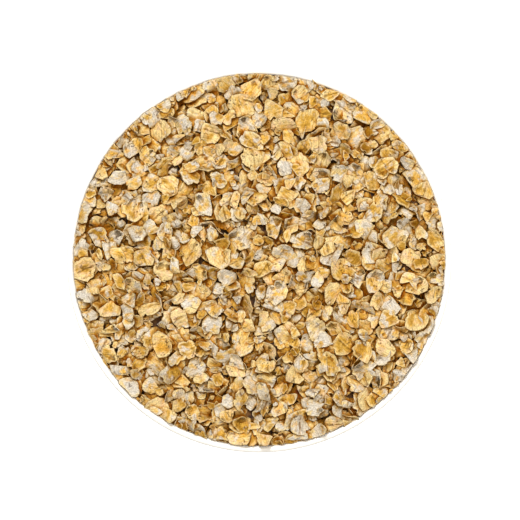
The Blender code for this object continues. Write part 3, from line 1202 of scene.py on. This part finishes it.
    def piece(self, kind: Kind, flakes: FlakeSet, lay: Lay) -> bpy.types.Object:
        """Joins the flakes of one kind into one mesh, each with two squares of its own in the baking map.

        Args:
            kind: the kind.
            flakes: its flakes.
            lay: where they lie.

        Returns:
            The piece, in its place, with its finish.
        """
        form = KINDS[kind]
        points, share, local = self.shells(form, flakes, lay)
        count, size = points.shape[:2]
        rings = len(form.section.value)
        shell = ring_triangles(rings, form.sides)
        triangles = (shell[None] + np.arange(count)[:, None, None] * size).reshape(-1, 3)
        top_rings = int(np.argmax([out for out, _ in form.section.value]))
        under = np.arange(len(shell)) >= form.sides * (1 + 2 * top_rings)
        turn = np.arange(form.sides) * math.tau / form.sides
        turn = np.concatenate([[0.0], np.tile(turn, rings), [0.0]])
        disc = np.stack([share * np.cos(turn), share * np.sin(turn)], -1)[shell] * 0.46 + 0.5
        across = math.ceil(math.sqrt(count * 2))
        slot = np.arange(count)[:, None] * 2 + under[None]
        place = np.stack([slot % across, slot // across], -1)[:, :, None, :]
        uv_maps = {
            "OFBake": ((place + disc[None]) / across).reshape(-1, 2),
            "Flake": local[:, shell].reshape(-1, 2),
        }
        names = ("tone", "flour", "amber", "lot", "crease")
        values = {name: np.repeat(getattr(flakes, name), size) for name in names}
        values["rim"] = np.tile(share, count)
        # painted shade: how much light the neighbours keep off each point, for the finish to darken
        values["deep"] = self.overlooked(points.reshape(-1, 3))
        made = mesh_object(kind.value, points.reshape(-1, 3), triangles, uv_maps, values)
        self.sharpen(made.data, size, 1 + (rings - 2) * form.sides, form.sides)
        made.data.materials.append(form.finish.material())
        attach(made, "root")
        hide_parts("oats")
        return made

    @staticmethod
    def sharpen(mesh: bpy.types.Mesh, size: int, first: int, sides: int) -> None:
        """Marks the edge of each flake's top as sharp.

        Args:
            mesh: the joined flakes.
            size: how many vertices a flake has.
            first: the first vertex of the sharp ring in a flake.
            sides: how many vertices the ring has.
        """
        ends = np.empty(len(mesh.edges) * 2, np.int32)
        mesh.edges.foreach_get("vertices", ends)
        place = ends.reshape(-1, 2) % size
        on_ring = ((place >= first) & (place < first + sides)).all(1)
        mesh.edges.foreach_set("use_edge_sharp", on_ring)

    def bed(self, bowl: Bowl) -> bpy.types.Object:
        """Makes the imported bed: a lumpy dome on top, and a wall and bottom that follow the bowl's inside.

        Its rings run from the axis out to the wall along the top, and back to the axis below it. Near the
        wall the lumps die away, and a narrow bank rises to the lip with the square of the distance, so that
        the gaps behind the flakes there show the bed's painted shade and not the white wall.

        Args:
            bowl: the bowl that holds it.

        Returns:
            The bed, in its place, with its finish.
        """
        sides, top_rings = 240, 150
        angle = np.arange(sides) * math.tau / sides
        reach, depth = bowl.inner_radius - self.bed_gap, bowl.inside_depth - self.bed_gap
        bank_top = bowl.height - bowl.lip / 2 - 0.1 * MM
        wall = bowl.wall(reach, depth, bank_top, 30)[::-1]
        radius = wall[0, 0] * np.arange(1, top_rings) / top_rings
        x, y = radius[:, None] * np.cos(angle), radius[:, None] * np.sin(angle)
        calm = np.clip((wall[0, 0] - radius) / (2 * MM), 0, 1)[:, None]
        level = self.dome(radius)[:, None] - self.bed_depth
        level = level + calm * (self.bed_height(x, y) - level)
        rise = np.clip(1 - (wall[0, 0] - radius) / self.bed_bank, 0, 1)[:, None] ** 2
        top = np.stack([x, y, level + rise * (bank_top - level)], -1)
        low_z = np.broadcast_to(wall[:, 1:], (len(wall), sides))
        low = np.stack([wall[:, :1] * np.cos(angle), wall[:, :1] * np.sin(angle), low_z], -1)
        rings = np.concatenate([top, low])
        peak = float(self.bed_height(np.zeros(1), np.zeros(1))[0])
        poles = np.array([[0, 0, peak], [0, 0, bowl.height - depth]])
        points = np.concatenate([poles[:1], rings.reshape(-1, 3), poles[1:]])
        made = mesh_object("oat_bed", points, ring_triangles(len(rings), sides), {}, {})
        made.data.materials.append(PaintedShadeBedFinish().material())
        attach(made, "root")
        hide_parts("oats")
        return made

    def build(self, bowl: Bowl) -> list[bpy.types.Object]:
        """Makes the bed and every kind of flake.

        Args:
            bowl: the bowl that holds the heap.

        Returns:
            The pieces.
        """
        flakes, lay = self.drop()
        made = [self.bed(bowl)]
        for number, kind in enumerate(KINDS):
            rows = np.flatnonzero(flakes.kind == number)
            part = Lay(lay.middle[rows], lay.turn[rows], lay.slope[rows])
            made.append(self.piece(kind, flakes.take(rows), part))
        return made


@dataclass(frozen=True)
class Lamp:
    """A square soft light: where it hangs, the length of its side, its power in watts and its tint."""

    name: str
    place: tuple[float, float, float]
    size: float
    watts: float
    tint: str


@dataclass
class Studio:
    """The floor, the lights and the camera, which looks straight down.

    The floor and the room each have a strength that lights the object, and one with which they are seen.
    """

    oats_level: float
    field_width: float
    disc_pixels: float = 371.3
    image_pixels: float = 520.0
    disc_left: float = 0.7
    lens: float = 135.0
    sensor: float = 36.0
    floor_light: float = 0.42
    floor_seen: float = 1.3
    room_light: float = 0.24
    room_seen: float = 1.0
    lamps: tuple[Lamp, ...] = (
        Lamp("key_light", (-0.14, 0.50, 1.05), 0.30, 11.2, "#FFFFFF"),
        Lamp("top_light", (0.25, -0.1, 1.2), 0.9, 9.1, "#FFF6E8"),
    )

    def floor(self) -> None:
        """Lays a white acrylic sheet lit from below: it is seen white, but lights the bowl only a little."""
        below = (0, 0, -0.2 * MM)
        bpy.ops.mesh.primitive_circle_add(vertices=96, radius=3.0, fill_type="NGON", location=below)
        sheet = bpy.context.object
        sheet.name = "studio_floor"
        material, tree, shader = new_material("white_acrylic_sheet")
        shader.inputs["Base Color"].default_value = linear("#BCBCBC")
        shader.inputs["Roughness"].default_value = 0.6
        shader.inputs["Emission Color"].default_value = (1, 1, 1, 1)
        seen = add(tree, "LightPath", out="Is Camera Ray")
        strength = add(tree, "MapRange", {0: seen, 3: self.floor_light, 4: self.floor_seen})
        tree.links.new(strength, shader.inputs["Emission Strength"])
        sheet.data.materials.append(material)

    def hang(self, lamp: Lamp) -> None:
        """Hangs a light so that it faces the middle of the oats.

        Args:
            lamp: the light.
        """
        light = bpy.data.lights.new(lamp.name, "AREA")
        light.shape = "SQUARE"
        light.size = lamp.size
        light.energy = lamp.watts
        light.color = linear(lamp.tint)[:3]
        held = bpy.data.objects.new(lamp.name, light)
        held.location = lamp.place
        towards = Vector((0, 0, self.oats_level)) - held.location
        held.rotation_euler = towards.to_track_quat("-Z", "Y").to_euler()
        bpy.context.scene.collection.objects.link(held)

    def world(self) -> None:
        """Gives the room a plain soft white, seen pale but lighting the scene only a little."""
        room = bpy.data.worlds.new("pale_room")
        room.use_nodes = True
        tree = room.node_tree
        back = tree.nodes["Background"]
        back.inputs["Color"].default_value = linear("#FFFCF6")
        seen = add(tree, "LightPath", out="Is Camera Ray")
        strength = add(tree, "MapRange", {0: seen, 3: self.room_light, 4: self.room_seen})
        tree.links.new(strength, back.inputs["Strength"])
        bpy.context.scene.world = room

    def camera(self) -> None:
        """Hangs the camera so that the opening is as wide in the image as in the photograph."""
        across = self.field_width * self.image_pixels / self.disc_pixels
        rise = across * self.lens / self.sensor
        eye = bpy.data.cameras.new("camera")
        eye.lens = self.lens
        eye.sensor_width = self.sensor
        eye.clip_start = 0.01
        held = bpy.data.objects.new("camera", eye)
        held.location = (self.disc_left * across / self.image_pixels, 0, self.oats_level + rise)
        bpy.context.scene.collection.objects.link(held)
        bpy.context.scene.camera = held

    def build(self) -> None:
        """Sets up the whole studio, with the key light from the upper left of the image."""
        self.floor()
        self.world()
        for lamp in self.lamps:
            self.hang(lamp)
        self.camera()
        bpy.context.scene.view_settings.view_transform = "Standard"


def main() -> None:
    """Dresses the bowl and its oats, and sets up the studio."""
    logging.basicConfig(level=logging.INFO, format="%(message)s")
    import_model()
    low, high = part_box("bowl")
    bowl = Bowl(rim_radius=(high.x - low.x) / 2, height=high.z)
    porcelain = bowl.build()
    LOG.info("%s: %d triangles", porcelain.name, len(porcelain.data.polygons))
    heap = Heap(wall_radius=bowl.inner_radius, edge_height=bowl.height - 0.1 * MM)
    total = 0
    for piece in heap.build(bowl):
        total += len(piece.data.polygons)
        LOG.info("%s: %d triangles", piece.name, len(piece.data.polygons))
    LOG.info("oats in all: %d triangles", total)
    Studio(oats_level=bowl.height, field_width=2 * bowl.inner_radius).build()


if __name__ == "__main__":
    main()
